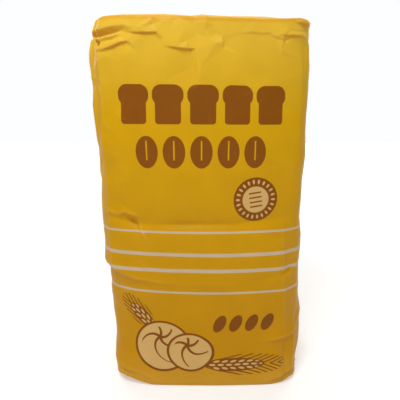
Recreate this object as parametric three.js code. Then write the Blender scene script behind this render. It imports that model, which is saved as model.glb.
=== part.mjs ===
// A paper pack of breadcrumbs: a block-bottomed bag, filled, folded shut and glued.
//
// Millimetres, +Z up, the front towards -Y. The origin is on the table under the middle
// of the pack. The pack is shut and can't be seen into, so it is one solid. It starts as
// a finely divided cube, and every corner of that grid is moved by one formula to its
// place on the filled bag.

import * as THREE from 'three';
import { mergeVertices } from 'three/addons/utils/BufferGeometryUtils.js';

// Driving dimensions

const HEIGHT = 188;
const DEPTH = 62;
const BASE_EDGE_RADIUS = 3.5;
const TOP_EDGE_RADIUS = 2.5;

// How far the two sides stand from the centre line. The soft pack leans a little to the
// left as it rises, and its waist is slimmer than its foot.
const STATIONS = [0, 15, 35, 60, 85, 110, 135, 160, 175, 188];
const LEFT_SIDE = [52.4, 53.1, 52.9, 54.4, 55.9, 56.4, 57.0, 56.9, 57.3, 55.5];
const RIGHT_SIDE = [55.8, 57.2, 57.4, 56.1, 54.9, 54.8, 54.3, 53.7, 52.9, 52.4];

// How far the middle of the front stands forward of its vertical edges
const FRONT_STATIONS = [0, 20, 60, 110, 165, 188];
const FRONT_BULGE = [3.0, 6.0, 8.0, 7.5, 6.0, 4.5];

const BACK_BULGE = 5;
const SIDE_BULGE = 3;
const CORNER_SHARPNESS = 8;
const FRONT_LEAN = 2;
const BACK_LEAN = 1.5;

// The folds of the top: the two ends are tucked in as triangles, the back panel is folded
// over them, and the front panel is glued down on the back one. Each panel narrows at 45
// degrees from its corners, and each layer of folded paper lies a little higher.
const TOP_DOME = 1.2;
const FOLD_LAYER = 0.6;
const FLAP_EDGE_Y = 8;
const SLANT_SOFTNESS = 1.5;

// The glued seam down the back
const SEAM_X = 18;
const SEAM_WIDTH = 14;
const SEAM_THICKNESS = 0.8;

// Dents in the front: [x, z] of both ends, depth and half width
const DENTS = [
  { from: [-48, 96], to: [50, 88], depth: 1.3, reach: 7 },
  { from: [-52, 176], to: [-28, 183], depth: 1.8, reach: 4.5 },
  { from: [30, 178], to: [54, 184], depth: 1.6, reach: 4.5 },
  { from: [-52, 58], to: [-22, 66], depth: 1.0, reach: 5 },
  { from: [36, 68], to: [54, 78], depth: 1.2, reach: 5 },
];

// Dents fade out before they reach the vertical edges, and the folds of the top fade out
// over this share of the way from its outline to its middle
const DENT_END_POWER = 6;
const TOP_FADE = 0.2;

// Divisions of the cube, the gap between the two grid lines at a paper edge, and the part
// of the grid's height, out of 2, that the rounded base edge or top edge takes
const CELLS_ACROSS = 26;
const CELLS_DEEP = 14;
const CELLS_HIGH = 36;
const EDGE_GAP = 0.7;
const ROUNDING_SHARE = 0.09;

const paper = new THREE.MeshStandardMaterial({
  name: 'yellow_paper',
  color: 0xcf9a1e,
  roughness: 0.55,
  metalness: 0,
});

// A smooth curve through the given values, read at any height
function curveThrough(stations, values) {
  const curve = new THREE.CubicInterpolant(stations, values, 1);
  return (z) => curve.evaluate(THREE.MathUtils.clamp(z, 0, HEIGHT))[0];
}

const leftSide = curveThrough(STATIONS, LEFT_SIDE);
const rightSide = curveThrough(STATIONS, RIGHT_SIDE);
const frontBulge = curveThrough(FRONT_STATIONS, FRONT_BULGE);

// Height and inset of a level from -1, the base, to 1, the top. The first and the last
// stretch of it turn round the quarter circles of the two edges.
function level(share) {
  const nearBase = (share + 1) / ROUNDING_SHARE;
  const nearTop = (1 - share) / ROUNDING_SHARE;
  if (nearBase < 1) {
    const turn = (nearBase * Math.PI) / 2;
    return {
      z: BASE_EDGE_RADIUS * (1 - Math.cos(turn)),
      inset: BASE_EDGE_RADIUS * (1 - Math.sin(turn)),
    };
  }
  if (nearTop < 1) {
    const turn = (nearTop * Math.PI) / 2;
    return {
      z: HEIGHT - TOP_EDGE_RADIUS * (1 - Math.cos(turn)),
      inset: TOP_EDGE_RADIUS * (1 - Math.sin(turn)),
    };
  }
  const along = (share + 1 - ROUNDING_SHARE) / (2 - 2 * ROUNDING_SHARE);
  const wall = HEIGHT - BASE_EDGE_RADIUS - TOP_EDGE_RADIUS;
  return { z: BASE_EDGE_RADIUS + along * wall, inset: 0 };
}

// The level outline: a square with its corners rounded, each side of which bulges. u and v
// run round a square from -1 to 1.
function outline(u, v, z, inset) {
  const powers = Math.abs(u) ** CORNER_SHARPNESS + Math.abs(v) ** CORNER_SHARPNESS;
  const round = powers ** (1 / CORNER_SHARPNESS);
  const across = u / round;
  const deep = v / round;
  const rise = z / HEIGHT;
  const side = (across < 0 ? leftSide(z) : rightSide(z)) - inset;
  const front = DEPTH / 2 - FRONT_LEAN * rise - inset;
  const back = DEPTH / 2 - BACK_LEAN * rise * rise - inset;
  const bulge = deep < 0 ? frontBulge(z) : BACK_BULGE;
  return [
    across * (side - SIDE_BULGE * deep * deep),
    deep * ((deep < 0 ? front : back) - bulge * across * across),
  ];
}

// How close a point is to a stretch from one point to another: 1 on it, falling to 0
function nearness(x, y, from, to, reach) {
  const along = new THREE.Vector2(to[0] - from[0], to[1] - from[1]);
  const offset = new THREE.Vector2(x - from[0], y - from[1]);
  const share = THREE.MathUtils.clamp(offset.dot(along) / along.lengthSq(), 0, 1);
  const gap = offset.addScaledVector(along, -share).length();
  return Math.exp(-((gap / reach) ** 2));
}

function frontDent(x, z) {
  return DENTS.reduce(
    (sum, dent) => sum + dent.depth * nearness(x, z, dent.from, dent.to, dent.reach),
    0,
  );
}

// How far on a layer of paper lies over its own edge: 0 outside it, 1 inside
function covered(inside, softness) {
  return THREE.MathUtils.smoothstep(inside, -softness, softness);
}

function backSeam(x) {
  const inside = SEAM_WIDTH / 2 - Math.abs(x - SEAM_X);
  return SEAM_THICKNESS * covered(inside, EDGE_GAP / 2);
}

// The relief of the top: a low dome, and one layer more for each panel folded over it
function topRelief(x, y) {
  const halfWidth = (leftSide(HEIGHT) + rightSide(HEIGHT)) / 2;
  const halfDepth = DEPTH / 2;
  const middle = (rightSide(HEIGHT) - leftSide(HEIGHT)) / 2;
  const toEnd = halfWidth - Math.abs(x - middle);
  const dome = TOP_DOME * (1 - (1 - toEnd / halfWidth) ** 2) * (1 - (y / halfDepth) ** 2);
  const backPanel = covered((toEnd - (halfDepth - y)) * Math.SQRT1_2, SLANT_SOFTNESS);
  const frontSlant = covered((toEnd - (halfDepth + y)) * Math.SQRT1_2, SLANT_SOFTNESS);
  const frontPanel = frontSlant * covered(FLAP_EDGE_Y - y, EDGE_GAP / 2);
  return dome + FOLD_LAYER * Math.max(backPanel, 2 * frontPanel);
}

// Evenly spaced grid lines from -1 to 1, with the two at each marked place drawn up to it
function gridLines(cells, marks, gap) {
  const lines = Array.from({ length: cells + 1 }, (_, i) => (2 * i) / cells - 1);
  for (const mark of marks) {
    const above = lines.findIndex((line) => line > mark);
    lines[above - 1] = mark - gap / 2;
    lines[above] = mark + gap / 2;
  }
  return (even) => lines[Math.round(((even + 1) * cells) / 2)];
}

const halfSpan = (leftSide(HEIGHT / 2) + rightSide(HEIGHT / 2)) / 2;
const seamEdges = [-1, 1].map((hand) => (SEAM_X + (hand * SEAM_WIDTH) / 2) / halfSpan);
const acrossLine = gridLines(CELLS_ACROSS, seamEdges, EDGE_GAP / halfSpan);
const deepLine = gridLines(CELLS_DEEP, [(2 * FLAP_EDGE_Y) / DEPTH], (2 * EDGE_GAP) / DEPTH);

// The place on the bag of one corner of the cube's grid, whose coordinates run -1 to 1
function placeOnBag(u, v, w) {
  const ring = Math.max(Math.abs(u), Math.abs(v));
  const { z, inset } = level(w);
  const [edgeX, edgeY] = ring > 0 ? outline(u / ring, v / ring, z, inset) : [0, 0];
  const x = edgeX * ring;
  const y = edgeY * ring;
  if (ring < 1) {
    const fade = THREE.MathUtils.smoothstep(1 - ring, 0, TOP_FADE);
    return [x, y, w > 0 ? z + topRelief(x, y) * fade : z];
  }
  const fade = 1 - inset / BASE_EDGE_RADIUS;
  if (v === -1) {
    return [x, y + frontDent(x, z) * fade * (1 - Math.abs(u) ** DENT_END_POWER), z];
  }
  if (v === 1) {
    return [x, y + backSeam(x) * fade, z];
  }
  return [x, y, z];
}

function bagGeometry() {
  const cube = new THREE.BoxGeometry(2, 2, 2, CELLS_ACROSS, CELLS_DEEP, CELLS_HIGH);
  cube.deleteAttribute('normal');
  cube.deleteAttribute('uv');
  const geometry = mergeVertices(cube, 1e-4);
  const place = geometry.getAttribute('position');
  for (let i = 0; i < place.count; i += 1) {
    const u = acrossLine(place.getX(i));
    const v = deepLine(place.getY(i));
    place.setXYZ(i, ...placeOnBag(u, v, place.getZ(i)));
  }
  geometry.computeVertexNormals();
  return geometry;
}

const pack = new THREE.Group();
const bag = new THREE.Mesh(bagGeometry(), paper);
bag.name = 'bag';
pack.add(bag);

export default pack;
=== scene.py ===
# %% [markdown]
# # A paper pack of breadcrumbs
#
# The object is a 500 g paper bag, filled with crumbs, folded shut and standing on its block
# bottom. All there is to see is paper, so the lesson is about paper: how it bulges over soft
# contents, how it folds at the ends, how it creases, and how ink lies on it.
#
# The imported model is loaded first. It is a fixed frame: the paper made here has to lie in
# the space of its one solid, which it replaces.

import bpy
import numpy as np
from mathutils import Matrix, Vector
from mathutils.geometry import delaunay_2d_cdt


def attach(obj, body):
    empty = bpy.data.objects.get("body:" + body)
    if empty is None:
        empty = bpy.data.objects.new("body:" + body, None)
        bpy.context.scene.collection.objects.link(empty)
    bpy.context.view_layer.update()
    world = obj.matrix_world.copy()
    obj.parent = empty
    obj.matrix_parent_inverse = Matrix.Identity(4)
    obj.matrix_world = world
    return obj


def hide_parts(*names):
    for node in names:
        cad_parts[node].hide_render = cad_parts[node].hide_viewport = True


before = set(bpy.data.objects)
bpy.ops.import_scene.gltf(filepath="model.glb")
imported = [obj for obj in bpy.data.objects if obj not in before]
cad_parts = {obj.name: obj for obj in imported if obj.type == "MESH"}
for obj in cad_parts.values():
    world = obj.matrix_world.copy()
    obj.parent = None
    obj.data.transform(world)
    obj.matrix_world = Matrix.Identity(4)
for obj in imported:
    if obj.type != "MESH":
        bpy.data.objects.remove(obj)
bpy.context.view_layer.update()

MM = 0.001


# %% [markdown]
# ## The camera
#
# The photograph was taken from close by: the pack's sides draw together downwards, its top
# edge bows up and its stripes bow down. That fixes a camera about 18 cm in front of the
# pack's middle, three quarters of the way up it, looking down a little.

# %% Camera
CAMERA_PLACE = (-1.5 * MM, -178.5 * MM, 138.7 * MM)
CAMERA_TILT_DOWN = 12.8
FOCAL_PIXELS = 313
IMAGE_PIXELS = 400
SENSOR = 36
CLIP_START = 0.01

scene = bpy.context.scene
lens = bpy.data.cameras.new("camera")
lens.sensor_width = SENSOR
lens.lens = SENSOR * FOCAL_PIXELS / IMAGE_PIXELS
lens.clip_start = CLIP_START
camera = bpy.data.objects.new("camera", lens)
camera.location = CAMERA_PLACE
camera.rotation_euler = (np.radians(90 - CAMERA_TILT_DOWN), 0, 0)
scene.collection.objects.link(camera)
scene.camera = camera
scene.view_settings.view_transform = "Standard"
print("lens of", round(lens.lens, 1), "mm")


# %% [markdown]
# ## The filled bag without its creases
#
# A filled pack is a box that bulges. Seen from above, each level is a square whose corners
# are rounded by a power mean and whose sides are bowed out. The sizes of the levels change
# with height along smooth curves: the pack leans a little to its left as it rises, and it is
# slimmer in the middle than at the foot. A formula with a few sizes is easier to match to
# the photograph than a sculpted mesh, and every finer thing can be added on top of it.

# %% Sizes of the bag, in millimetres
HEIGHT = 188
DEPTH = 62
BASE_ROUNDING = 1.0
TOP_ROUNDING = 1.3
STATIONS = [0, 15, 35, 60, 85, 110, 135, 160, 175, 188]
LEFT_SIDE = [51.7, 52.5, 52.2, 54.0, 55.6, 56.0, 56.8, 56.7, 57.3, 52.8]
RIGHT_SIDE = [55.8, 57.2, 57.4, 56.1, 54.9, 54.3, 54.1, 53.4, 52.2, 51.8]
FRONT_STATIONS = [0, 20, 60, 110, 165, 188]
FRONT = [32.6, 30.9, 30.4, 29.8, 29.2, 29.0]
FRONT_BULGE = [1.2, 6.0, 8.0, 7.5, 6.0, 4.5]
BACK_BULGE = 5
SIDE_BULGE = 3
CORNER_SHARPNESS = 8
BACK_LEAN = 1.5
print("the foot is", LEFT_SIDE[0] + RIGHT_SIDE[0], "mm wide")


# %% Smooth bag
def curve_through(z, stations, values):
    """The smooth curve through the values at the stations, read at every z.

    On each stretch it is the cubic that meets both values with the slopes that their
    neighbours give.
    """
    stations = np.asarray(stations, float)
    values = np.asarray(values, float)
    slopes = np.gradient(values, stations)
    i = np.clip(np.searchsorted(stations, z) - 1, 0, len(stations) - 2)
    width = stations[i + 1] - stations[i]
    t = np.clip((z - stations[i]) / width, 0, 1)
    start = (1 + 2 * t) * (1 - t) ** 2 * values[i] + t * (1 - t) ** 2 * width * slopes[i]
    end = t ** 2 * (3 - 2 * t) * values[i + 1] - t ** 2 * (1 - t) * width * slopes[i + 1]
    return start + end


def outline(u, v, z, inset):
    """x and y of the level at height z, drawn in by inset.

    u and v run round a square from -1 to 1, front at v = -1. Dividing them by their power
    mean rounds the square's corners. Then x = u times (half width less the side's bow times
    v squared), and y likewise.
    """
    mean = (np.abs(u) ** CORNER_SHARPNESS + np.abs(v) ** CORNER_SHARPNESS) ** (
        1 / CORNER_SHARPNESS
    )
    u = u / mean
    v = v / mean
    rise = z / HEIGHT
    left = curve_through(z, STATIONS, LEFT_SIDE)
    right = curve_through(z, STATIONS, RIGHT_SIDE)
    side = np.where(u < 0, left, right) - inset
    front = curve_through(z, FRONT_STATIONS, FRONT) - inset
    back = DEPTH / 2 - BACK_LEAN * rise ** 2 - inset
    front_bulge = curve_through(z, FRONT_STATIONS, FRONT_BULGE)
    x = u * (side - SIDE_BULGE * v ** 2)
    y = v * np.where(v < 0, front - front_bulge * u ** 2, back - BACK_BULGE * u ** 2)
    return x, y


print("right side at half height: x =", outline(1, 0, HEIGHT / 2, 0)[0].round(1), "mm")


# %% [markdown]
# ## Threads of the paper
#
# The print and the creases belong to the paper, so each column of the mesh is a thread of
# the paper, named by s, its distance in millimetres from the middle of the front round to
# the right. The distances are measured once, at half height.

# %% Find the threads
MEASURE_STEPS = 4000


def walk_round(steps):
    """u and v of points on the square, evenly from the middle of its back round by the left
    side, the front and the right side to the back again."""
    t = np.linspace(0, 8, steps)
    u = np.interp(t, [0, 1, 3, 5, 7, 8], [0, -1, -1, 1, 1, 0])
    v = np.interp(t, [0, 1, 3, 5, 7, 8], [1, 1, -1, -1, 1, 1])
    return u, v


square_u, square_v = walk_round(MEASURE_STEPS)
round_x, round_y = outline(square_u, square_v, HEIGHT / 2, 0)
walked = np.concatenate([[0], np.cumsum(np.hypot(np.diff(round_x), np.diff(round_y)))])
ROUND = walked[-1]
walked -= np.interp(MEASURE_STEPS / 2, np.arange(MEASURE_STEPS), walked)


def thread(s):
    """u and v on the square of the threads at s, by looking up the measured walk."""
    s = (np.asarray(s, float) - walked[0]) % ROUND + walked[0]
    return np.interp(s, walked, square_u), np.interp(s, walked, square_v)


def thread_at(u, v):
    """s of the thread at one point of the square, by looking for the nearest one."""
    return walked[np.argmin(np.hypot(square_u - u, square_v - v))]


FRONT_LEFT = thread_at(-1, -1)
FRONT_RIGHT = thread_at(1, -1)
SIDE_LEFT = thread_at(-1, 0)
SIDE_RIGHT = thread_at(1, 0)
BACK_LEFT = thread_at(-1, 1)
BACK_RIGHT = thread_at(1, 1)
print("the paper is", round(ROUND), "mm round; its folds are at s =",
      [round(s) for s in (BACK_LEFT, SIDE_LEFT, FRONT_LEFT, FRONT_RIGHT, SIDE_RIGHT, BACK_RIGHT)])


# %% Meshes from grids
def grid_mesh(name, points, uv, marks):
    """A mesh of the grid of points, rows by columns by 3, in millimetres.

    It carries the paper's coordinates as its uv, and each named mark as an attribute.
    """
    rows, columns = points.shape[:2]
    index = np.arange(rows * columns).reshape(rows, columns)
    corners = [index[:-1, :-1], index[:-1, 1:], index[1:, 1:], index[1:, :-1]]
    faces = np.stack(corners, axis=-1).reshape(-1, 4)
    mesh = bpy.data.meshes.new(name)
    mesh.vertices.add(rows * columns)
    mesh.vertices.foreach_set("co", (points * MM).astype(np.float32).ravel())
    mesh.loops.add(faces.size)
    mesh.loops.foreach_set("vertex_index", faces.ravel().astype(np.int32))
    mesh.polygons.add(len(faces))
    mesh.polygons.foreach_set("loop_start", np.arange(0, faces.size, 4, dtype=np.int32))
    layer = mesh.uv_layers.new(name="paper")
    layer.data.foreach_set("uv", uv.reshape(-1, 2)[faces.ravel()].astype(np.float32).ravel())
    for mark, values in marks.items():
        attribute = mesh.attributes.new(mark, "FLOAT", "POINT")
        attribute.data.foreach_set("value", values.astype(np.float32).ravel())
    mesh.update(calc_edges=True)
    mesh.polygons.foreach_set("use_smooth", np.ones(len(faces), bool))
    piece = bpy.data.objects.new(name, mesh)
    scene.collection.objects.link(piece)
    print(name, "has", 2 * len(faces), "triangles")
    return piece


# %% [markdown]
# ## Facets between fold lines
#
# Paper can bend but not stretch, so what bulges or is pressed in breaks into flat facets
# with straight, sharp folds between them. That is how the crumpled parts are made here: a
# fold line is a row of points (s, z, height) on the paper, and the paper between fold lines
# is cut into triangles, each of which is flat. Blender's own triangulation keeps the fold
# lines as edges. A noise texture gives soft hills instead, and sculpting can't be repeated.

# %% Facets
MERGE_GAP = 1e-6
SLACK = 1e-9


def ease(x, start, end):
    """0 before start, 1 after end, and a smooth S between them: 3 t squared - 2 t cubed."""
    t = np.clip((x - start) / (end - start), 0, 1)
    return t * t * (3 - 2 * t)


def triangles_of(lines):
    """Corners, as rows (x, y, height), of the triangles between some fold lines."""
    points = np.concatenate([np.asarray(line, float) for line in lines])
    ends = np.cumsum([len(line) for line in lines])
    edges = [(i, i + 1) for i in range(len(points) - 1) if i + 1 not in ends]
    flat = [Vector(point[:2]) for point in points]
    places, _, faces, origins, _, _ = delaunay_2d_cdt(flat, edges, [], 0, MERGE_GAP)
    heights = [points[origin[0], 2] if origin else 0.0 for origin in origins]
    corners = np.column_stack([np.array([tuple(place) for place in places]), heights])
    return corners[np.array([tuple(face) for face in faces if len(face) == 3])]


def faceted(x, y, triangles):
    """Height of the facets at each x and y, and 0 outside all triangles.

    In a triangle it is the mean of the corners' heights, weighted by the areas that the
    point makes with the opposite sides.
    """
    height = np.zeros(x.shape)
    for (ax, ay, ah), (bx, by, bh), (cx, cy, ch) in triangles:
        near = ((x >= min(ax, bx, cx)) & (x <= max(ax, bx, cx))
                & (y >= min(ay, by, cy)) & (y <= max(ay, by, cy)))
        area = (bx - ax) * (cy - ay) - (cx - ax) * (by - ay)
        if not near.any() or abs(area) < SLACK:
            continue
        px, py = x[near] - ax, y[near] - ay
        b = (px * (cy - ay) - py * (cx - ax)) / area
        c = (py * (bx - ax) - px * (by - ay)) / area
        inside = (b >= -SLACK) & (c >= -SLACK) & (b + c <= 1 + SLACK)
        height[near] = np.where(inside, ah + b * (bh - ah) + c * (ch - ah), height[near])
    return height


# %% [markdown]
# ## The folds under the front's top edge
#
# These fold lines are the ones that the photograph shows. In the left corner pleats fan
# out to the edge from a point near the top, each with a crest and the recess under it.
# In the right corner two short ledges meet a slit. Between the corners tilted facets hang
# from the top edge.

# %% Fold lines under the top edge
LEFT_FOLDS = [
    [(-64, 187.4, 0), (-50, 187.4, 0), (-38, 187.4, 0), (-24, 187.4, 0), (-12, 187.4, 0)],
    [(-64, 184.6, 0.2), (-54, 182.6, 0.6), (-49, 182.2, 0.8), (-42, 183.4, 0.8),
     (-36, 183.8, 0.6), (-31, 183.4, 0.4)],
    [(-64, 181.6, -0.5), (-54, 179.9, -1), (-49, 179.1, -1.2), (-42, 180.3, -0.9),
     (-37, 181.5, -0.4)],
    [(-64, 180.4, 0), (-54, 179, 0.1), (-49.2, 178.3, 0.3), (-42, 179.4, 0.3),
     (-38, 180.4, 0.2)],
    [(-47.2, 176.9, -0.5), (-41, 177.9, -0.4), (-37.2, 179, 0.1)],
    [(-51.6, 178.6, -0.8), (-49.4, 176.6, -2.4), (-50.2, 173.4, -0.6)],
    [(-46.8, 175.2, 0.3), (-43.5, 176, 0.6), (-40.2, 177.2, 0.6), (-37, 178.2, 0.5)],
    [(-48, 174, 0.5), (-44.4, 174, 0.9), (-40.4, 175.3, 1), (-36.7, 176.9, 0.9),
     (-33.8, 177.4, 0.6), (-31, 176, 0.3)],
    [(-47.6, 172.8, -0.1), (-44.5, 172.7, -0.1), (-40.5, 174.1, -0.2), (-36.8, 175.8, -0.3),
     (-34, 176.4, -0.1), (-31.5, 175, 0)],
    [(-35.4, 174.8, -0.1), (-33, 172.2, 0.3)],
    [(-31.5, 182, 0.5), (-28.6, 182.8, 0.7), (-25, 183.2, 0.3)],
    [(-31.4, 181, 0.4), (-26, 180.9, 0.7), (-20.8, 181.1, 0.5)],
    [(-31.4, 180.3, -0.1), (-26, 180.1, -0.3), (-21.2, 180.4, -0.2), (-19.4, 178, -0.3),
     (-17.8, 175.4, -0.1)],
    [(-17, 178.6, 0.4), (-15, 182.6, 0.3)],
    [(-42, 170.6, 0.2), (-38, 169, 0)],
    [(-60, 166, 0), (-50, 164, 0), (-40, 162, 0), (-26, 160, 0)],
]
RIGHT_FOLDS = [
    [(12, 187.4, 0), (24, 187.4, 0), (36, 187.4, 0), (48, 187.4, 0), (62, 187.4, 0)],
    [(16, 181.4, 0.1), (22, 182.2, 0.4), (28, 181.9, 0.4), (31, 182.3, 0.4), (34, 180.4, 0.5),
     (38, 179.8, 0.4)],
    [(16, 180.8, 0), (22, 181.2, 0), (28, 180.9, 0), (31, 181.2, 0), (34, 179.3, 0),
     (38, 178.8, 0)],
    [(38.3, 184.2, 0.3), (38.7, 181.8, 0.7)],
    [(43.4, 186.4, 0.1), (47.2, 186.1, 0.6), (51, 186, 0.5), (58, 185.6, 0)],
    [(43.8, 185.8, 0), (47.2, 185, -0.3), (50.5, 184.2, -0.7), (56, 184.4, -0.3)],
    [(41.6, 183.3, 0.3), (46.4, 182.9, 0.3)],
    [(41.8, 182.8, 0.1), (46.2, 182.3, 0.1)],
    [(39, 181.2, 0.5), (43.5, 180.9, 0.7), (50.2, 180.4, 0.5), (57, 180.2, 0)],
    [(39.4, 180.3, 0), (43.5, 179.8, -0.1), (50, 179.2, -0.1)],
    [(38.3, 180.2, 0.2), (38.1, 177.4, 0.2)],
    [(39, 180.1, -0.2), (38.9, 178.6, -0.7), (38.7, 177.2, -0.2)],
    [(37.8, 176.9, 0.4), (37.1, 174.9, 0.4), (36.5, 172.4, 0)],
    [(50.4, 182, -0.3), (50.6, 176, -0.5), (50.8, 168, -0.3), (50.8, 158, -0.1)],
    [(54, 178, 0.3), (54, 166, 0.3), (54, 156, 0.1)],
    [(26, 164, 0), (38, 163, 0), (46, 162, 0), (62, 162, 0)],
]
MIDDLE_FOLDS = [
    [(-17, 175.7, 0.3), (-12, 174.9, 0.7), (-8, 174.5, 0.9), (-6, 174.4, 0.3)],
    [(-16.5, 175, 0.1), (-11.5, 174.1, -0.1), (-7.6, 173.6, -0.2), (-5.8, 173.8, -0.4)],
    [(-5.6, 173, -0.7), (-4.4, 167, -0.9), (-2.6, 159.6, -0.1)],
    [(-3.2, 174.4, 0.3), (-1.8, 166.4, 0.5), (-0.8, 160, 0.1)],
    [(-24, 185.8, 0.5), (-22.6, 184.4, -0.2), (-18.6, 185.2, 0.4)],
    [(-11, 186, 0.3), (-9, 181.5, 0.6), (-6.5, 178.2, 0.1)],
    [(-5, 184.5, -0.5), (-3, 180.5, -0.4)],
    [(1, 185.6, 0.5), (0.2, 182.4, 0.1), (3, 179, 0.2), (6, 177, 0.7),
     (8.6, 175.6, 0.4)],
    [(4.6, 184.6, -0.2), (5.2, 180.6, -0.4)],
    [(8.7, 180, 0), (8.8, 177.6, 0.7), (8.9, 175, 0.1)],
    [(9.6, 178, -0.2), (9.7, 176, -0.2)],
]
FOLDS = LEFT_FOLDS + RIGHT_FOLDS + MIDDLE_FOLDS
print(len(FOLDS), "fold lines under the top edge")

# %% [markdown]
# ## How a single crease is made
#
# Outside the corners there are long dents and single creases. Each is a line on the paper
# that stands up, or is sunk, by some height, and the paper slopes back to its place on both
# sides of it. A short slope on one side makes a ledge with a dark underside, and two equal
# slopes make a ridge. Their sum works on whole arrays at once.

# %% Creases
CREST_ROUNDING = 0.2


def crease(s, z, start, end, height, above, below, fade=0.45):
    """Relief of one crease from start to end, both (s, z).

    Height times e to the minus (distance over reach), where the reach is above on the left
    of the line and below on its right. The crest is rounded a little, and the crease rises
    and dies away over the share fade of its length at both ends, and past them.
    """
    along = np.subtract(end, start)
    length = np.hypot(*along)
    along = along / length
    t = ((s - start[0]) * along[0] + (z - start[1]) * along[1]) / length
    off = (z - start[1]) * along[0] - (s - start[0]) * along[1]
    gap = np.sqrt(off ** 2 + CREST_ROUNDING ** 2) - CREST_ROUNDING
    slope = np.exp(-gap / np.where(off > 0, above, below))
    window = ease(t, -fade / 2, fade) * (1 - ease(t, 1 - fade, 1 + fade / 2))
    return height * slope * window


def creased(s, z, creases):
    """The sum of the relief of creases, each the values that crease takes from start on."""
    return sum(crease(s, z, *line) for line in creases)


# %% [markdown]
# ## The creases of the front
#
# Each line is one that the photograph shows, as (start, end, height, reach above it, reach
# below it) in millimetres on the paper, and a sixth value is the share of its length over
# which it dies away. The long ones are the dent across the middle and the upright folds at
# the front's two edges.

# %% Front creases
MIDDLE_CREASES = [
    ((-48.5, 142.5), (-42, 136.8), 0.4, 0.9, 0.9),
    ((-51, 95), (-28, 91.2), -1.4, 6, 2.4),
    ((-36, 91.4), (30, 92.2), -1.7, 8, 2.4),
    ((-34, 91.3), (26, 92.1), -0.8, 3, 1.4),
    ((18, 92.2), (46, 94.6), -1.3, 7, 2.4),
    ((-54, 99.4), (-43.5, 96.4), 1.2, 0.7, 1.8),
    ((-44, 96.2), (-39.3, 98.6), 0.9, 0.8, 0.8),
    ((-40.8, 98.4), (-32.2, 95.6), 1.1, 0.7, 1.6),
    ((-41, 95.2), (-31.2, 89), -1.2, 1.2, 1.1),
    ((-33.4, 93.4), (-28.2, 82.2), 1, 0.9, 0.9),
    ((-46, 104.6), (-37, 99.5), -0.5, 2.2, 2),
    ((-30, 150), (-24, 118), 0.25, 4, 3),
    ((20, 128), (46, 121), 0.3, 5, 2.5),
    ((10, 112), (44, 116), -0.3, 4, 4),
]
LOWER_CREASES = [
    ((-66, 72), (-34, 61.4), 1.8, 5, 1.1, 0.3),
    ((-67, 69), (-46, 64), -1.7, 1.4, 5, 0.4),
    ((-40, 62.4), (-15, 60), 1, 3.4, 1.2),
    ((-20, 60.4), (18, 59.6), 0.4, 4, 2),
    ((-34, 72), (-29, 66.2), 0.5, 0.8, 0.8),
    ((-52, 80), (-40, 77), 0.4, 1.6, 0.8),
    ((-53, 53), (-38, 57.5), -0.5, 2, 1.6),
    ((48, 66.4), (40, 63), -1.3, 1, 2.6, 0.3),
    ((42, 64.2), (26, 61.8), -0.6, 1.6, 2.6),
    ((51, 73.6), (43.5, 71), 0.6, 1.6, 0.8),
    ((35.5, 85.8), (41.5, 84), -0.6, 0.8, 0.8),
    ((32, 25.6), (54, 29.6), 1.5, 2.6, 0.6),
    ((42, 29), (44.6, 3), -1.5, 2.2, 1.6),
    ((48.5, 40), (49.5, 6), 0.9, 1.4, 4),
    ((33, 2.6), (56, 8.6), 1.6, 2.5, 0.7),
    ((-56, 10.6), (-37, 5.6), 1.5, 1.6, 1),
    ((-38, 7), (-25, 3.2), 1, 2.4, 1.4),
    ((-44, 14), (-30, 8.5), 0.3, 3, 2),
]
EDGE_CREASES = [
    ((-47.2, 176), (-49, 128), 1.1, 10, 2.4, 0.12),
    ((-48.8, 134), (-50, 60), 1, 10, 2.4, 0.12),
    ((-53.4, 188), (-54.6, 118), -1.9, 2.2, 3.5, 0.15),
    ((47.8, 180), (49.5, 96), 0.6, 2.6, 9, 0.15),
    ((51.5, 128), (50.5, 40), 0.5, 2.4, 8, 0.15),
    ((41, 92), (43, 2), 1.7, 5, 14, 0.15),
]
FRONT_CREASES = MIDDLE_CREASES + LOWER_CREASES + EDGE_CREASES
print(len(FRONT_CREASES), "creases on the front")

# %% [markdown]
# ## Crumples nobody photographed
#
# The sides and the back are out of sight, and even the smooth part of the front has faint
# facets. There the fold points come from a seeded random generator: a jittered grid of
# points, each a little in or out, and more so near the pack's ends and on its sides. A few
# longer creases, mostly level, cross them.

# %% Scattered facets
SEED = 41
POINT_STEP = 11.0
JITTER = 0.4
KEEP_OFF = 4.0
OVERLAP = 30
STRENGTH_THREADS = [-149, -110, -100, -74, -56, -46, 46, 56, 72, 99, 110, 149]
STRENGTH = [1.0, 1.2, 1.3, 1.2, 0.7, 0.2, 0.2, 0.7, 1.2, 1.3, 1.2, 1.0]
END_STRENGTH = 0.35
FOOT_ZONE = (8, 30)
TOP_ZONE = (160, 182)
RIM_THREADS = np.arange(-180, 181, 12)
RIM_HEIGHTS = (-6, HEIGHT + 8)

random = np.random.default_rng(SEED)


def jittered_points(x_range, y_range, step):
    """Points of a square grid over a rectangle, each moved at random by some of a step."""
    x, y = np.meshgrid(np.arange(*x_range, step), np.arange(*y_range, step))
    place = np.stack([x.ravel(), y.ravel()], axis=-1)
    return place + random.uniform(-JITTER * step, JITTER * step, place.shape)


def facet_strength(s, z):
    """How far the fold points of the wall stand in or out, by their place on the pack."""
    near_end = np.maximum(ease(z, *TOP_ZONE), 1 - ease(z, *FOOT_ZONE))
    return np.interp(s, STRENGTH_THREADS, STRENGTH) + END_STRENGTH * near_end


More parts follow.
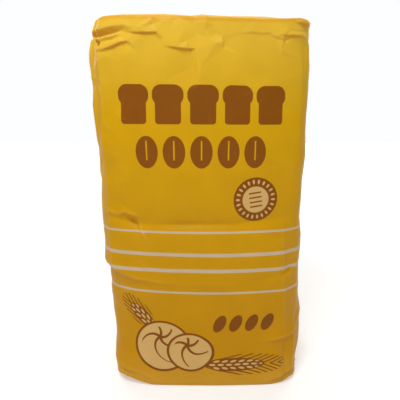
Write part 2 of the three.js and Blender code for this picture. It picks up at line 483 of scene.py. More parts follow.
spots = jittered_points((-ROUND / 2, ROUND / 2), (4, HEIGHT - 3), POINT_STEP)
drawn = np.concatenate([np.asarray(line, float)[:, :2] for line in FOLDS])
gaps = np.hypot(*(spots[:, None] - drawn[None]).transpose(2, 0, 1)).min(axis=1)
spots = spots[gaps > KEEP_OFF]
heights = facet_strength(*spots.T) * random.uniform(-1, 1, len(spots))
scattered = np.column_stack([spots, heights])
around = np.concatenate([scattered + [turn * ROUND, 0, 0] for turn in (0, -1, 1)])
around = around[np.abs(around[:, 0]) < ROUND / 2 + OVERLAP]
rims = [[(s, z, 0) for s in RIM_THREADS] for z in RIM_HEIGHTS]
wall_triangles = triangles_of(FOLDS + [[point] for point in around] + rims)
print(len(wall_triangles), "facets on the wall")

# %% Scattered creases
FAINT = (0.06, 0.15)
GENTLE = (0.18, 0.45)
PLAIN = (0.2, 0.65)
STRONG = (0.4, 0.9)
SCATTER_REACH = (0.7, 3.5)


def scatter(count, s_range, z_range, length_range, height_range, slant):
    """count creases in a patch of the paper, level but for a slant of so many degrees."""
    s = random.uniform(*s_range, count)
    z = random.uniform(*z_range, count)
    angle = np.radians(random.normal(0, slant, count))
    length = random.uniform(*length_range, count)
    height = random.uniform(*height_range, count) * random.choice([-1, 1], count)
    reach = random.uniform(*SCATTER_REACH, (count, 2))
    half = np.stack([np.cos(angle), np.sin(angle)], axis=-1) * length[:, None] / 2
    middle = np.stack([s, z], axis=-1)
    return [(start, end, high, *reaches)
            for start, end, high, reaches in zip(middle - half, middle + half, height, reach)]


scattered_creases = scatter(40, (-48, 48), (8, 172), (6, 22), FAINT, 35)
scattered_creases += scatter(16, (-51, -36), (98, 172), (6, 18), GENTLE, 60)
for fold in (BACK_LEFT, BACK_RIGHT):
    scattered_creases += scatter(9, (fold - 9, fold + 9), (166, 184), (8, 20), STRONG, 25)
    scattered_creases += scatter(14, (fold - 10, fold + 10), (8, 170), (6, 18), PLAIN, 30)
for side in (SIDE_LEFT, SIDE_RIGHT):
    scattered_creases += scatter(18, (side - 20, side + 20), (8, 180), (10, 30), PLAIN, 35)
    scattered_creases += scatter(6, (side - 14, side + 14), (164, 184), (10, 24), STRONG, 18)
back_creases = scatter(34, (105, 193), (8, 180), (10, 34), PLAIN, 35)
back_creases += scatter(9, (108, 190), (168, 185), (10, 28), STRONG, 12)
print(len(scattered_creases) + len(back_creases), "scattered creases")

# %% [markdown]
# ## The wall
#
# The wall is a surface of two parameters: s round the pack and h up the paper. At the foot
# and at the top the paper turns inwards round a quarter circle. The relief moves each point
# level outwards, at a right angle to the wall. A displacement modifier could do that from a
# texture, but here each fold keeps the place and the slopes it was given.

# %% Wall relief
GUSSET_DEPTH = 1.6
GUSSET_REACH = 5
SEAM_OFF_MIDDLE = 11
SEAM_EDGE = ROUND / 2 + SEAM_OFF_MIDDLE
SEAM_LIFT = 0.4
SEAM_REACH = 14
UNDULATION = 0.3
WAVES_ROUND = 4
WAVE_SLANT = 29
WAVE_HEIGHT = 17


def nearest_turn(s, centre):
    """Distance of the thread s from another, the short way round the pack."""
    return (s - centre + ROUND / 2) % ROUND - ROUND / 2


def wall_relief(s, z):
    """How far the paper stands out of the smooth bag at the thread s and the height z.

    A slow undulation, the facets, the creases, with those of the back counted on from the
    right side, a fold down the middle of each side, and the edge of the glued seam on the
    back.
    """
    near = nearest_turn(s, 0)
    turn = 2 * np.pi * near / ROUND * WAVES_ROUND + z / WAVE_SLANT
    relief = UNDULATION * np.sin(turn) * np.sin(z / WAVE_HEIGHT + 1)
    relief = relief + faceted(near, z, wall_triangles)
    relief = relief + creased(near, z, FRONT_CREASES + scattered_creases)
    relief = relief + creased(near + ROUND * (near < 0), z, back_creases)
    for side in (SIDE_LEFT, SIDE_RIGHT):
        relief = relief - GUSSET_DEPTH * np.exp(-np.abs(nearest_turn(s, side)) / GUSSET_REACH)
    past = nearest_turn(s, SEAM_EDGE)
    return relief + SEAM_LIFT * np.exp(np.minimum(past, 0) / SEAM_REACH) * (past <= 0)


print("the seam's edge is at s =", round(SEAM_EDGE))


# %% Rounded and lifted edges
LIFT_THREADS = [-100, -60, -50, -40, -15, 10, 28, 40, 48, 60, 100]
TOP_LIFT = [0, 0.4, 0.5, -0.1, -1.1, -1.6, -1.9, -1.4, -0.5, 0, 0]
LIFT_START = 120
FOOT_THREADS = [-78, -68, -58, -50, -44, -38, -31, -25, 38, 44, 49, 56, 66]
FOOT_LIFT = [0, 0.6, 2.4, 4.5, 3.8, 2.0, 0.2, 0, 0, 0.7, 2.6, 1.2, 0]
FOOT_LIFT_RANGE = (-1, 12)
WALL_BEND = HEIGHT - TOP_ROUNDING
WALL_TOP = WALL_BEND + TOP_ROUNDING * np.pi / 2
WALL_FOOT = BASE_ROUNDING * (1 - np.pi / 2)


def level_of(h):
    """Height and inset of the paper's point h, which counts up the wall from the table.

    Near both ends the paper runs round the quarter circles of the two edges.
    """
    foot = np.clip(1 - h / BASE_ROUNDING, 0, np.pi / 2)
    top = np.clip((h - WALL_BEND) / TOP_ROUNDING, 0, np.pi / 2)
    z = np.clip(h, BASE_ROUNDING, WALL_BEND) - BASE_ROUNDING * np.sin(foot)
    z = z + TOP_ROUNDING * np.sin(top)
    inset = BASE_ROUNDING * (1 - np.cos(foot)) + TOP_ROUNDING * (1 - np.cos(top))
    return z, inset


def lift(s, z):
    """How much higher the paper lies than its level says: the top edge slopes down to the
    right, and the foot's front corners are turned up."""
    near = nearest_turn(s, 0)
    top = np.interp(near, LIFT_THREADS, TOP_LIFT) * ease(z, LIFT_START, HEIGHT)
    foot = np.interp(near, FOOT_THREADS, FOOT_LIFT) * (1 - ease(z, *FOOT_LIFT_RANGE))
    return top + foot


print("the paper of the wall is", round(WALL_TOP - WALL_FOOT, 1), "mm tall")


# %% Surface of the wall
CALM = 3.0
NORMAL_STEP = 0.5


def bare_wall(s, h):
    """x and y of the smooth bag's wall at the threads s and the points h up the paper."""
    z, inset = level_of(h)
    return outline(*thread(s), z, inset)


def wall(s, h, relief):
    """Points of the creased wall: the smooth wall moved outwards by the relief.

    Outwards is the level direction at a right angle to the wall, which comes from two
    points close by on both sides. The relief dies away where the paper turns under.
    """
    z, _ = level_of(h)
    x, y = bare_wall(s, h)
    before_x, before_y = bare_wall(s - NORMAL_STEP, h)
    after_x, after_y = bare_wall(s + NORMAL_STEP, h)
    step = np.hypot(after_x - before_x, after_y - before_y)
    relief = relief * ease(h, WALL_FOOT, CALM) / step
    x = x + relief * (after_y - before_y)
    y = y - relief * (after_x - before_x)
    return np.stack([x, y, z + lift(s, z)], axis=-1)


# %% [markdown]
# ## Paler crests and painted shade
#
# Ink rubs off the crest of a fold, and the crests are painted paler, partly as rubbed ink
# and partly as a painted highlight. The hollow under a fold gets painted shade in deep
# orange, standing in for the shade there and the light that reaches it off yellow paper; so
# do the rim of the top and a strip by the front's left edge. Painted by hand, such places
# would stay behind when a fold moves. So two marks are worked out from the relief, and the
# material reads them as attributes of the mesh.

# %% Paler crests and painted shade
# Bend of the relief at which crests are fully paler, as rubbed ink and painted highlight.
WORN_AND_HIGHLIGHT_BEND = 2.0
GENTLE_LEAN = 0.26
FULL_LEAN = 0.7
# Painted shade under the top's rim, and the strip by the front's left edge that gets painted shade.
RIM_PAINTED_SHADE = 0.65
LEFT_PAINTED_SHADE_STRIP = (-16, 0, 8, 14)


def fold_marks(relief, s, h):
    """How much the paper is painted paler, as rubbed ink and highlight, and how much it gets
    painted shade, each from 0 to 1.

    It is paler where its relief bends outwards: less the sum of the second differences
    along both ways of the grid. It gets painted shade where it leans out over what is below it
    or, in the strip at the front's left edge, behind it, and under the rim of the top.
    """
    rise, full, wane, end = FRONT_LEFT + np.array(LEFT_PAINTED_SHADE_STRIP)
    in_strip = ease(s, rise, full) * (1 - ease(s, wane, end))
    lean_left = np.gradient(relief, axis=1) / np.gradient(s, axis=1) * in_strip
    lean = np.maximum(np.gradient(relief, axis=0) / np.gradient(h, axis=0), lean_left)
    bend_s = np.gradient(np.gradient(relief, axis=1), axis=1) / np.gradient(s, axis=1) ** 2
    bend_h = np.gradient(np.gradient(relief, axis=0), axis=0) / np.gradient(h, axis=0) ** 2
    crest = WALL_BEND + TOP_ROUNDING / 2
    # Painted shade under the rim of the top.
    rim = RIM_PAINTED_SHADE * ease(h, WALL_BEND - TOP_ROUNDING, crest) * (1 - ease(h, crest, WALL_TOP))
    # Painted shade where the paper leans out over what is below it, and in the left strip where it
    # leans back.
    painted_shade_lean = (lean - GENTLE_LEAN) / (FULL_LEAN - GENTLE_LEAN)
    return {"worn_and_highlight": np.clip(-(bend_s + bend_h) / WORN_AND_HIGHLIGHT_BEND, 0, 1),
            "painted_shade": np.clip(np.maximum(painted_shade_lean, rim), 0, 1)}


# %% Make the wall
ROWS = 280
COLUMNS = 340
DENSE_FROM = 155
SPARSE_SHARE = 0.7
SHARP = 0.05
levels = np.interp(np.linspace(0, 1, ROWS), [0, SPARSE_SHARE, 1],
                   [WALL_FOOT, DENSE_FROM, WALL_TOP])
HALVES = {"front_paper": (SIDE_LEFT, SIDE_RIGHT), "back_paper": (SIDE_RIGHT, SIDE_LEFT + ROUND)}

pieces = []
for name, (first, last) in HALVES.items():
    columns = np.linspace(first, last, COLUMNS)
    if first < SEAM_EDGE < last:
        seam_column = np.argmin(np.abs(columns - SEAM_EDGE))
        columns[seam_column:seam_column + 2] = SEAM_EDGE, SEAM_EDGE + SHARP
    s, h = np.meshgrid(columns, levels)
    relief = wall_relief(s, h)
    paper_uv = np.stack([s, h], axis=-1)
    pieces.append(grid_mesh(name, wall(s, h, relief), paper_uv, fold_marks(relief, s, h)))

# %% [markdown]
# ## The folded ends
#
# Both ends are shut like a parcel. The sides are tucked in first, as triangles, then the
# back panel is folded over them and the front panel over both, with a glued flap past the
# middle. A point of an end is named by its thread s and by q, the share of the way from
# the rim to a ridge along the middle. The ridge is shorter than the pack by half its depth
# at each end, so the threads of the corners run in at 45 degrees, as a folded edge does.

# %% Sizes of the folded ends
TOP_DOME = 1.4
LAYER = 0.45
LAYER_RISE = 0.14
FLAP = 9.0
RIDGE_HALF = (LEFT_SIDE[-1] + RIGHT_SIDE[-1]) / 2 - DEPTH / 2
RIDGE_MIDDLE = (RIGHT_SIDE[-1] - LEFT_SIDE[-1]) / 2

END_STEP = 10.0
END_FACETS = 0.6
END_CREASES = (0.12, 0.45)

end_spots = jittered_points((-60, 60), (-36, 36), END_STEP)
end_heights = random.uniform(-END_FACETS, END_FACETS, len(end_spots))
end_triangles = triangles_of([[point] for point in np.column_stack([end_spots, end_heights])])
end_creases = scatter(22, (-50, 50), (-26, 26), (8, 30), END_CREASES, 40)
print(len(end_triangles), "facets on each end")


def end_points(columns, q, rim_h, ridge_z, layers):
    """Points of a folded end at the threads s and the shares q of the way to the ridge.

    Past q = 1 the paper goes straight on over the ridge. The height goes from the rim's to
    the ridge's along a parabola. Over the first share LAYER_RISE of the way the small
    relief comes in, and the given number of paper layers is added.
    """
    u, _ = thread(columns)
    rim_h = np.full_like(columns, rim_h)
    rim = wall(columns, rim_h, wall_relief(columns, rim_h))
    inwards = np.minimum(q, 1)
    x = rim[:, 0] + (RIDGE_MIDDLE + u * RIDGE_HALF - rim[:, 0]) * inwards
    y = rim[:, 1] * (1 - q)
    z = ridge_z - (ridge_z - rim[:, 2]) * (1 - q) ** 2
    rise = ease(q, 0, LAYER_RISE)
    small = faceted(x, y, end_triangles) + creased(x, y, end_creases)
    return x, y, z, layers * LAYER * rise, small * rise


def end_panel(name, rim_h, ridge_z, first, last, q_last, layers, rows, columns):
    """One panel of a folded end, between two threads, as a mesh with its print's uv.

    The layers are counted upwards on the top and downwards under the base, where nothing
    may lie below the table. The panel's own edges are turned in to the layer below.
    """
    is_top = ridge_z > 0
    inner = np.linspace(first, last, columns)[1:-1]
    columns = np.concatenate([[first, first + SHARP], inner, [last - SHARP, last]])
    q = np.linspace(0, q_last, rows)
    q = q if is_top else q[::-1]
    s, q = np.meshgrid(columns, q)
    tucked = np.broadcast_to((columns == first) | (columns == last), s.shape)
    own = layers * ~tucked
    if q_last > 1:
        own = np.where(q == q_last, 1, own)
    counted = own if is_top else 2 - own
    x, y, z, raised, small = end_points(columns, q, rim_h, ridge_z, counted)
    z = z + raised + (small if is_top else 0)
    reach = DEPTH / 2 * q
    v = rim_h + reach if is_top else rim_h - reach
    if not is_top:
        z = np.maximum(z, 0)
    return grid_mesh(name, np.stack([x, y, z], axis=-1), np.stack([s, v], axis=-1), {})


# %% Make the folded ends
ENDS = {"top": (WALL_TOP, HEIGHT + TOP_DOME), "base": (WALL_FOOT, 0)}
LAP = 1 + FLAP / (DEPTH / 2)
PANELS = [
    ("left_tuck", BACK_LEFT, FRONT_LEFT, 1, 0, 70, 90),
    ("right_tuck", FRONT_RIGHT, BACK_RIGHT, 1, 0, 70, 90),
    ("back_panel", BACK_RIGHT, BACK_LEFT + ROUND, 1, 1, 80, 200),
    ("front_panel", FRONT_LEFT, FRONT_RIGHT, LAP, 2, 100, 200),
]
for end, rim_and_ridge in ENDS.items():
    for panel, *sizes in PANELS:
        pieces.append(end_panel(f"{end}_{panel}", *rim_and_ridge, *sizes))

# %% [markdown]
# ## Ink as arithmetic
#
# The print is flat shapes with clean edges, so each shape is a distance: how many
# millimetres a point of the paper lies outside it, from the paper's own coordinates. Two
# shapes are joined by taking the smaller distance. Blender's Math nodes do such sums, and
# the small class below lets them be written as ordinary arithmetic.

# %% Arithmetic with nodes
paper = bpy.data.materials.new("yellow_paper")
paper.use_nodes = True
tree = paper.node_tree
shader = tree.nodes["Principled BSDF"]


def plug(socket, value):
    """Link a field, or set a number or a colour, on an input."""
    if isinstance(value, Field):
        tree.links.new(value.socket, socket)
    else:
        socket.default_value = value


def add_node(kind, *values, **settings):
    """A new node with its settings, whose inputs get the values in order."""
    node = tree.nodes.new(kind)
    for name, setting in settings.items():
        setattr(node, name, setting)
    for socket, value in zip(node.inputs, values):
        plug(socket, value)
    return node


def compute(operation, *values, clamp=False):
    """The field that one Math node makes of its values."""
    node = add_node("ShaderNodeMath", *values, operation=operation, use_clamp=clamp)
    return Field(node.outputs[0])


# %% Fields
class Field:
    """A number that varies over the paper: an output of the node tree, with arithmetic."""

    def __init__(self, socket):
        self.socket = socket

    def __add__(self, other):
        return compute("ADD", self, other)

    def __sub__(self, other):
        return compute("SUBTRACT", self, other)

    def __mul__(self, other):
        return compute("MULTIPLY", self, other)

    def __truediv__(self, other):
        return compute("DIVIDE", self, other)

    def __abs__(self):
        return compute("ABSOLUTE", self)


def run_along(operation, fields):
    """One Math operation run along the fields, from the first to the last."""
    total = fields[0]
    for field in fields[1:]:
        total = compute(operation, total, field)
    return total


def smaller(*fields):
    """The smallest of the fields at each point: the union of shapes given as distances."""
    return run_along("MINIMUM", fields)


def larger(*fields):
    """The largest of the fields at each point: what shapes given as distances share."""
    return run_along("MAXIMUM", fields)


def repeat(field, period):
    """The field wound back into half a period on each side of 0."""
    return compute("WRAP", field, period / 2, -period / 2)


def to_multiple(field, period):
    """Distance of the field from the nearest multiple of the period."""
    return compute("PINGPONG", field, period / 2)


# %% Distances of shapes
def length(x, y):
    """The square root of x squared plus y squared."""
    joined = Field(add_node("ShaderNodeCombineXYZ", x, y).outputs[0])
    return Field(add_node("ShaderNodeVectorMath", joined, operation="LENGTH").outputs["Value"])


def oval(x, y, half_width, half_height):
    """Distance outside an ellipse about 0: its stretched radius less 1, in millimetres."""
    return (length(x / half_width, y / half_height) - 1) * min(half_width, half_height)


def rounded_box(x, y, half_width, half_height, corner):
    """Distance outside a rectangle with round corners about 0."""
    beyond_x = abs(x) - (half_width - corner)
    beyond_y = abs(y) - (half_height - corner)
    outside = length(larger(beyond_x, 0), larger(beyond_y, 0))
    return outside + smaller(larger(beyond_x, beyond_y), 0) - corner


def seen_from(place):
    """x and y on the paper, counted from a place (s, h)."""
    return across - place[0], up - place[1]


def turned(place, angle):
    """x and y from a place, with the x axis turned up by an angle in degrees."""
    x, y = seen_from(place)
    cosine, sine = np.cos(np.radians(angle)), np.sin(np.radians(angle))
    return x * cosine + y * sine, y * cosine - x * sine


# %% Colours of the paper, its print and its painted light and shade, as linear red, green and blue
# The yellow is painted lighter at the top and darker at the foot, as painted light and shade.
YELLOW_PAINTED_LIGHTER_TOP = (0.54, 0.312, 0.002, 1)
YELLOW_PAINTED_DARKER_FOOT = (0.475, 0.228, 0, 1)
BROWN = (0.20, 0.062, 0.003, 1)
TAN = (0.56, 0.355, 0.125, 1)
CREAM = (0.485, 0.39, 0.28, 1)
# Painted sheen over the top of the front.
PAINTED_SHEEN = (0.60, 0.39, 0.04, 1)
# Paler: rubbed ink and painted highlight on fold crests; also a painted reflection of the floor
# along the foot.
WORN_AND_HIGHLIGHT = (0.78, 0.52, 0.14, 1)
# Painted shade, deep orange, in the hollows under folds.
PAINTED_SHADE_ORANGE = (0.50, 0.185, 0.002, 1)
INK_SOFTNESS = 0.22

uv = add_node("ShaderNodeUVMap", uv_map="paper")
split = add_node("ShaderNodeSeparateXYZ", Field(uv.outputs[0]))
across, up = Field(split.outputs[0]), Field(split.outputs[1])


def ink(distance):
    """How much of the paper the ink covers: 1 inside the shape, with a narrow soft edge."""
    return compute("MULTIPLY_ADD", distance, -1 / INK_SOFTNESS, 0.5, clamp=True)


def over(colour, amount, below):
    """A colour laid over what is below it, by an amount from 0 to 1."""
    node = add_node("ShaderNodeMix", amount, data_type="RGBA")
    first_colour, second_colour = node.inputs[6], node.inputs[7]
    plug(first_colour, below)
    plug(second_colour, colour)
    return Field(node.outputs[2])


# %% [markdown]
# ## Painted light on the yellow, and stripes
#
# The yellow is painted lighter and more lemon towards the top and darker and more golden
# towards the foot, as light falls from above; a painted sheen lies over the top, and along
# the foot's edge a paler painted reflection of the floor. Four cream stripes run round the
# pack, two thick ones between two thin ones.

# %% Painted light and stripes
# Painted light over the yellow: lighter towards the top, a painted sheen over the top, and a paler
# painted reflection of the floor along the foot's edge.
PAINTED_LIGHT_LAYERS = [(YELLOW_PAINTED_LIGHTER_TOP, 30, 180, 1), (PAINTED_SHEEN, 145, 185, 0.7), (WORN_AND_HIGHLIGHT, 18, 2, 0.16)]
STRIPES = [(88.0, 1.1), (76.2, 1.9), (67.5, 1.9), (55.2, 1.2)]


def rising(start, end):
    """0 at one height of the paper and before it, 1 at another and past it, and a straight
    line between them."""
    return compute("MULTIPLY_ADD", up, 1 / (end - start), -start / (end - start), clamp=True)


colour = YELLOW_PAINTED_DARKER_FOOT
for shade, start, end, amount in PAINTED_LIGHT_LAYERS:
    colour = over(shade, rising(start, end) * amount, colour)
stripes = smaller(*(abs(up - height) - width / 2 for height, width in STRIPES))
colour = over(CREAM, ink(stripes), colour)
print(len(STRIPES), "stripes")

# %% [markdown]
# ## Two rows of brown shapes
#
# The upper half of the front carries two rows of heavy brown shapes: slices of bread, and
# grains under them. Winding the coordinate round back on itself repeats one shape along a
# row, and a last distance cuts the row off at its ends.

# %% Rows of slices and grains
ROW_COUNT = 5
SLICE_PERIOD, SLICE_HEIGHT = 16.1, 150.0
CRUMB_DROP, CRUMB_SIZES = 1.7, (6.0, 7.3, 1.6)
CRUST_RISE, CRUST_SIZES = 4.3, (7.2, 4.7, 4.2)
GRAIN_PERIOD, GRAIN_HEIGHT, GRAIN_MIDDLE = 12.9, 127.9, -0.8
GRAIN_SIZES = (5.3, 7.7)
GROOVE_RISE, GROOVE_HALF_WIDTH, GROOVE_HALF_HEIGHT = 0.8, 0.35, 4.6

x, y = repeat(across, SLICE_PERIOD), up - SLICE_HEIGHT
crumb = rounded_box(x, y + CRUMB_DROP, *CRUMB_SIZES)
crust = rounded_box(x, y - CRUST_RISE, *CRUST_SIZES)
slices = larger(smaller(crumb, crust), abs(across) - SLICE_PERIOD * ROW_COUNT / 2)

x, y = repeat(across - GRAIN_MIDDLE, GRAIN_PERIOD), up - GRAIN_HEIGHT
groove = larger(abs(x) - GROOVE_HALF_WIDTH, abs(y - GROOVE_RISE) - GROOVE_HALF_HEIGHT)
grains = larger(oval(x, y, *GRAIN_SIZES), groove * -1)
grains = larger(grains, abs(across - GRAIN_MIDDLE) - GRAIN_PERIOD * ROW_COUNT / 2)
colour = over(BROWN, ink(smaller(slices, grains)), colour)
print(ROW_COUNT, "slices and as many grains")

# %% [markdown]
# ## The seal and the small grains
#
# A round seal sits under the rows: a brown ring with tan ticks, and a tan middle with four
# short dashes. Lower down, four small grains fill the place beside the rolls.

# %% Seal
SEAL, SEAL_RADIUS, SEAL_MIDDLE = (26.3, 104.5), 11.2, 6.7
TICKS, TICK_RADIUS, TICK_SIZES = 22, 9, (0.55, 1.1)
DASH_ANGLE, DASH_STEP, DASH_HALF_HEIGHT, DASH_HALF_WIDTH = 8, 2.3, 0.38, 3.1
DASHES_HALF_HEIGHT = 4.5

x, y = seen_from(SEAL)
radius = length(x, y)
turn = compute("ARCTAN2", y, x)
colour = over(BROWN, ink(radius - SEAL_RADIUS), colour)
tick = to_multiple(turn, 2 * np.pi / TICKS) * TICK_RADIUS
ticks = oval(tick, radius - TICK_RADIUS, *TICK_SIZES)
colour = over(TAN, ink(smaller(radius - SEAL_MIDDLE, ticks)), colour)
x, y = turned(SEAL, DASH_ANGLE)
lines = to_multiple(y + DASH_STEP / 2, DASH_STEP) - DASH_HALF_HEIGHT
dashes = larger(lines, abs(y) - DASHES_HALF_HEIGHT, abs(x) - DASH_HALF_WIDTH)
colour = over(BROWN, ink(dashes), colour)
print("the seal is", 2 * SEAL_RADIUS, "mm wide")

# %% Small grains
SMALL_PLACE, SMALL_SIZES = (20.8, 37.2), (3.1, 4.9)
SMALL_PERIOD, SMALL_COUNT, SMALL_SLANT = 8.2, 4, 0.3

x, y = seen_from(SMALL_PLACE)
x = x - y * SMALL_SLANT
small = oval(repeat(x + SMALL_PERIOD / 2, SMALL_PERIOD), y, *SMALL_SIZES)
small = larger(small, abs(x) - SMALL_PERIOD * SMALL_COUNT / 2)
colour = over(BROWN, ink(small), colour)
print(SMALL_COUNT, "small grains")

# %% [markdown]
# ## Ears of wheat
#
# An ear is a long brown oval with three rows of pale kernels, the outer rows half a step
# on and leaning outwards, and thin bristles that leave it at a small angle. In its own
# coordinates, a along the ear and b across it, one formula draws every kernel.

# %% Ears of wheat
KERNEL_STEP = 4.4
KERNEL_SIZES = (1.65, 0.62)
KERNEL_LEAN = 0.2
OUTER_ROW = 1.95
EAR_MARGIN = 0.3
BRISTLE_STEP = 1.9
BRISTLE_HALF_WIDTH = 0.34
BRISTLE_LEAN = 0.13
BRISTLE_CURL = 0.004
BRISTLE_PLACE, BRISTLE_LENGTH, BRISTLE_SPREAD = 0.72, 0.64, 1.6
EARS = [((-28.5, 33.5), 134, 18.5, 3.8), ((0.5, 12.7), 0.5, 32, 3.8)]


def ear(place, angle, ear_length, half_width):
    """Distances of the brown of an ear and of its kernels, from its foot's place."""
    a, b = turned(place, angle)
    side = abs(b)
    middle = a - ear_length / 2
    body = oval(middle, b, ear_length / 2, half_width)
    inner = oval(repeat(a, KERNEL_STEP), b, *KERNEL_SIZES)
    step = repeat(a + KERNEL_STEP / 2, KERNEL_STEP)
    outer = oval(step, side - step * KERNEL_LEAN - OUTER_ROW, *KERNEL_SIZES)
    kernels = larger(smaller(inner, outer), body + EAR_MARGIN)
    start = side - a * (a * BRISTLE_CURL + BRISTLE_LEAN)
    line = to_multiple(start, BRISTLE_STEP) - BRISTLE_HALF_WIDTH
    reach = oval(a - ear_length * BRISTLE_PLACE, b, ear_length * BRISTLE_LENGTH,
                 half_width * BRISTLE_SPREAD)
    return smaller(body, larger(line, reach)), kernels


for sizes in EARS:
    brown, kernels = ear(*sizes)
    colour = over(BROWN, ink(brown), colour)
    colour = over(TAN, ink(kernels), colour)
print(len(EARS), "ears of wheat")

# %% [markdown]
# ## Rolls
#
# A roll is a tan oval with a brown outline and five curved cuts from one point. In polar
# coordinates round that point a cut is a straight line whose angle grows with the radius,
# and winding the angle back five times a turn draws all five.

# %% Rolls
CUTS = 5
CUT_CURL = 0.095
CUT_START = 62
CUT_BREADTH = 1.4
CUT_TAPER = 0.03
OUTLINE_HALF_WIDTH = 0.62
ROLLS = [((-23.5, 23.2), 16.0, 14.3, (-25, 28.2), 3.0), ((-7.6, 20.3), 12.9, 10.8, (-9, 24.2), 2.2)]


def roll(colour, place, half_width, half_height, hub, stop):
    """The colour with a roll laid over it, whose cuts end some way inside its outline."""
    edge = oval(*seen_from(place), half_width, half_height)
    x, y = seen_from(hub)
    radius = length(x, y)
    angle = compute("ARCTAN2", y, x) - radius * CUT_CURL - np.radians(CUT_START)
    cut = to_multiple(angle, 2 * np.pi / CUTS) * radius
    cut = larger(cut - OUTLINE_HALF_WIDTH * CUT_BREADTH + radius * CUT_TAPER, edge + stop)
    colour = over(TAN, ink(edge), colour)
    return over(BROWN, ink(smaller(abs(edge) - OUTLINE_HALF_WIDTH, cut)), colour)


for sizes in ROLLS:
    colour = roll(colour, *sizes)
print(len(ROLLS), "rolls")

# %% [markdown]
# ## The finish of the paper
#
# The paper is coated a little, so it has a soft sheen. Its ink is not quite even, the
# crests of the folds are paler, as rubbed ink and as a painted highlight, the hollows under
# them get painted shade in deep orange, and the fibres show. The paler crests and the
# painted shade come from attributes that the meshes carry, and the rest is noise in
# millimetres.

# %% Finish of the paper, with its painted shade and paler crests
PAINTED_SHADE_AMOUNT = 0.85
WORN_AND_HIGHLIGHT_AMOUNT = 0.6
WORN_AND_HIGHLIGHT_NOISE = (0.6, 3)
INK_NOISE, INK_RANGE, INK_LEAST = (0.09, 4), 0.16, 0.92
SHEEN_NOISE, SHEEN_RANGE, SHEEN_LEAST = (0.25, 3), 0.14, 0.32
SPECULAR_LEVEL = 0.09
FIBRE_NOISE, FIBRE_STRENGTH, FIBRE_HEIGHT = (1.6, 4), 0.35, 0.12 * MM

coordinates = add_node("ShaderNodeTexCoord")
in_mm = add_node("ShaderNodeVectorMath", Field(coordinates.outputs["Object"]), operation="SCALE")
in_mm.inputs["Scale"].default_value = 1 / MM
place_in_mm = in_mm.outputs[0]


def noise(scale, detail):
    """A noise over the paper, with features about 1 / scale millimetres wide."""
    node = add_node("ShaderNodeTexNoise")
    tree.links.new(place_in_mm, node.inputs["Vector"])
    node.inputs["Scale"].default_value = scale
    node.inputs["Detail"].default_value = detail
    return Field(node.outputs["Fac"])


def mark(name):
    """The field of one of the meshes' attributes."""
    return Field(add_node("ShaderNodeAttribute", attribute_name=name).outputs["Fac"])


# Painted shade: deep orange in the hollows under folds, under the top's rim and in the strip by the
# front's left edge.
colour = over(PAINTED_SHADE_ORANGE, mark("painted_shade") * PAINTED_SHADE_AMOUNT, colour)
# Paler crests of folds: rubbed ink and a painted highlight.
colour = over(WORN_AND_HIGHLIGHT, mark("worn_and_highlight") * noise(*WORN_AND_HIGHLIGHT_NOISE) * WORN_AND_HIGHLIGHT_AMOUNT, colour)
tint = add_node("ShaderNodeVectorMath", colour, operation="SCALE")
plug(tint.inputs["Scale"], noise(*INK_NOISE) * INK_RANGE + INK_LEAST)
tree.links.new(tint.outputs[0], shader.inputs["Base Color"])

plug(shader.inputs["Roughness"], noise(*SHEEN_NOISE) * SHEEN_RANGE + SHEEN_LEAST)
shader.inputs["Specular IOR Level"].default_value = SPECULAR_LEVEL
bump = add_node("ShaderNodeBump")
bump.inputs["Strength"].default_value = FIBRE_STRENGTH
bump.inputs["Distance"].default_value = FIBRE_HEIGHT
plug(bump.inputs["Height"], noise(*FIBRE_NOISE))
tree.links.new(bump.outputs[0], shader.inputs["Normal"])
print(len(tree.nodes), "nodes in the paper")

# %% Ride
for piece in pieces:
    piece.data.materials.append(paper)
    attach(piece, "root")
    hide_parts("bag")
print(len(pieces), "pieces ride on the root")

# %% [markdown]
# ## Floor and light
#
# The pack stands on a pale floor in soft studio light. The surroundings are warm and dim,
# bright overhead and brightest behind, and darkest at the far left and right, so that the
# front's edges don't wash out. The camera sees a plain white backdrop instead, and the
# floor glows more with distance, to meet it without a line. A small soft lamp high up in
# front rakes down the paper, so that each dent gets a dark upper slope and a bright lower
# one. A weak one further off lifts the front, and two large ones light the back. The
# helpers build nodes in the tree of that name, which is the world's and the floor's here.

# %% Surroundings
SIDE_LIGHT = (0.44, 0.385, 0.32)
FRONT_LIGHT = (0.05, 0.045, 0.04)
BACK_LIGHT = (0.56, 0.57, 0.60)
OVERHEAD_LIGHT = (0.30, 0.31, 0.30)
RIGHT_SHADE = (-0.20, -0.185, -0.16)
LEFT_SHADE = (-0.14, -0.13, -0.11)
GLOWS = [("Y", 0.3, 0.85, BACK_LIGHT), ("Y", -0.4, -1, FRONT_LIGHT), ("X", 0.2, 1, RIGHT_SHADE),
         ("X", -0.2, -1, LEFT_SHADE), ("Z", 0.2, 1, OVERHEAD_LIGHT)]
BACKDROP = (0.98, 0.99, 1, 1)

world = bpy.data.worlds.new("studio")
world.use_nodes = True
tree = world.node_tree
coordinates = add_node("ShaderNodeTexCoord")
direction = add_node("ShaderNodeSeparateXYZ", Field(coordinates.outputs["Generated"]))


def soft_ramp(value, start, end, low, high):
    """low before the start, high past the end, and a smooth S between them."""
    node = add_node("ShaderNodeMapRange", value, start, end, low, high,
                    interpolation_type="SMOOTHSTEP")
    return Field(node.outputs[0])


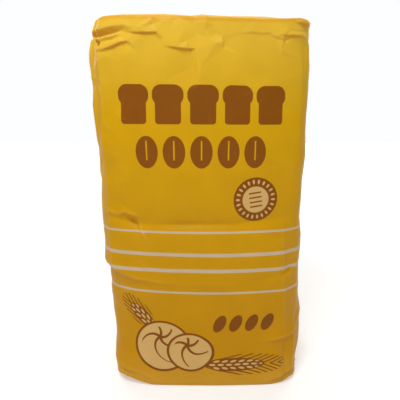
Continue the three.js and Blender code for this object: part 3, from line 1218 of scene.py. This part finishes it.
light = SIDE_LIGHT
for axis, start, end, glow in GLOWS:
    towards = soft_ramp(Field(direction.outputs[axis]), start, end, 0, 1)
    total = add_node("ShaderNodeVectorMath", towards, glow, light, operation="MULTIPLY_ADD")
    light = Field(total.outputs[0])
around_pack = tree.nodes["Background"]
plug(around_pack.inputs["Color"], light)
backdrop = add_node("ShaderNodeBackground", BACKDROP)
seen = add_node("ShaderNodeMixShader")
tree.links.new(add_node("ShaderNodeLightPath").outputs["Is Camera Ray"], seen.inputs[0])
tree.links.new(around_pack.outputs[0], seen.inputs[1])
tree.links.new(backdrop.outputs[0], seen.inputs[2])
tree.links.new(seen.outputs[0], tree.nodes["World Output"].inputs["Surface"])
scene.world = world
print(len(GLOWS), "glows and shades round the pack")

# %% Floor
FLOOR_HALF = 3
FLOOR_COLOUR = (0.66, 0.68, 0.70, 1)
FLOOR_ROUGHNESS = 0.8
FLOOR_GLOW = (0.95, 0.97, 1, 1)
GLOW_BY_DISTANCE = (0.4, 1.6, 0.36, 1.0)

floor_mesh = bpy.data.meshes.new("floor")
corners = [(x * FLOOR_HALF, y * FLOOR_HALF, 0) for x, y in ((-1, -1), (1, -1), (1, 1), (-1, 1))]
floor_mesh.from_pydata(corners, [], [(0, 1, 2, 3)])
floor = bpy.data.objects.new("floor", floor_mesh)
pale = bpy.data.materials.new("pale_floor")
pale.use_nodes = True
tree = pale.node_tree
finish = tree.nodes["Principled BSDF"].inputs
finish["Base Color"].default_value = FLOOR_COLOUR
finish["Roughness"].default_value = FLOOR_ROUGHNESS
finish["Emission Color"].default_value = FLOOR_GLOW
spot = Field(add_node("ShaderNodeTexCoord").outputs["Object"])
distance = add_node("ShaderNodeVectorMath", spot, operation="LENGTH").outputs["Value"]
plug(finish["Emission Strength"], soft_ramp(Field(distance), *GLOW_BY_DISTANCE))
floor_mesh.materials.append(pale)
scene.collection.objects.link(floor)
print("the floor is", 2 * FLOOR_HALF, "m wide")


# %% Lamps
def soft_box(name, place, aim, width, height, watts, colour):
    """A rectangular lamp at a place, in metres, turned to face another."""
    lamp = bpy.data.lights.new(name, "AREA")
    lamp.shape = "RECTANGLE"
    lamp.size = width
    lamp.size_y = height
    lamp.energy = watts
    lamp.color = colour
    holder = bpy.data.objects.new(name, lamp)
    holder.location = place
    holder.rotation_euler = (Vector(aim) - Vector(place)).to_track_quat("-Z", "Y").to_euler()
    scene.collection.objects.link(holder)


WARM = (1, 0.98, 0.95)
WARMER = (1, 0.97, 0.93)
soft_box("key", (-0.065, -0.17, 0.42), (0, -0.03, 0.12), 0.12, 0.08, 0.86, WARM)
soft_box("front", (-0.10, -0.71, 0.40), (0, -0.03, 0.12), 0.12, 0.12, 0.25, WARM)
for hand in (-1, 1):
    soft_box("rear", (hand * 0.55, 0.7, 0.5), (0, 0.03, 0.10), 0.5, 0.4, 2.0, WARMER)
